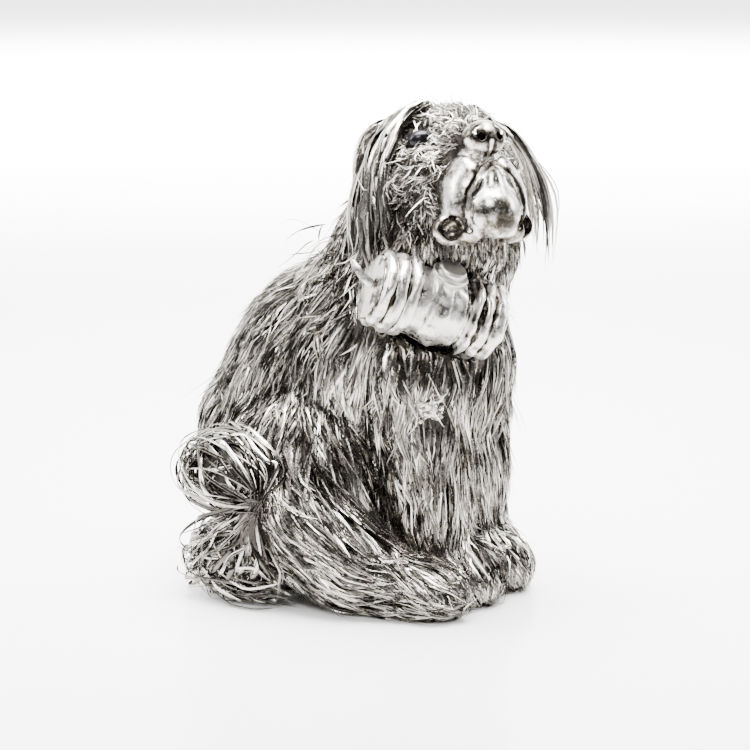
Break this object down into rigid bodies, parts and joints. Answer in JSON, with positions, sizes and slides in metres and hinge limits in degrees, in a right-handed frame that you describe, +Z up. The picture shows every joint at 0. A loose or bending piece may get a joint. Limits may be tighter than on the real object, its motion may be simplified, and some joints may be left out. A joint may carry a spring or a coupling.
{
  "type": "dog figurine",
  "caption": "Seated long-haired dog in silver, head raised, with a small keg slung at its throat; a table ornament.",
  "frame": {"origin": "on the flat underside, under the middle of the belly", "axes": "+Z up, the dog's height; the dog's body faces -Y and its own right side is -X"},
  "size_m": [0.0927, 0.1063, 0.1294],
  "materials": {
    "silver_strip": "silver strip, darkened between the strands",
    "polished_silver": "polished silver",
    "dark_stone": "polished dark stone"
  },
  "bodies": {
    "root": {"furred_body": "silver_strip", "muzzle": "polished_silver", "right_eye": "dark_stone", "left_eye": "dark_stone", "right_ear": "silver_strip", "left_ear": "silver_strip", "tail": "silver_strip", "keg": "polished_silver", "bung": "polished_silver", "strap": "polished_silver", "chest_tab": "polished_silver"}
  },
  "joints": []
}
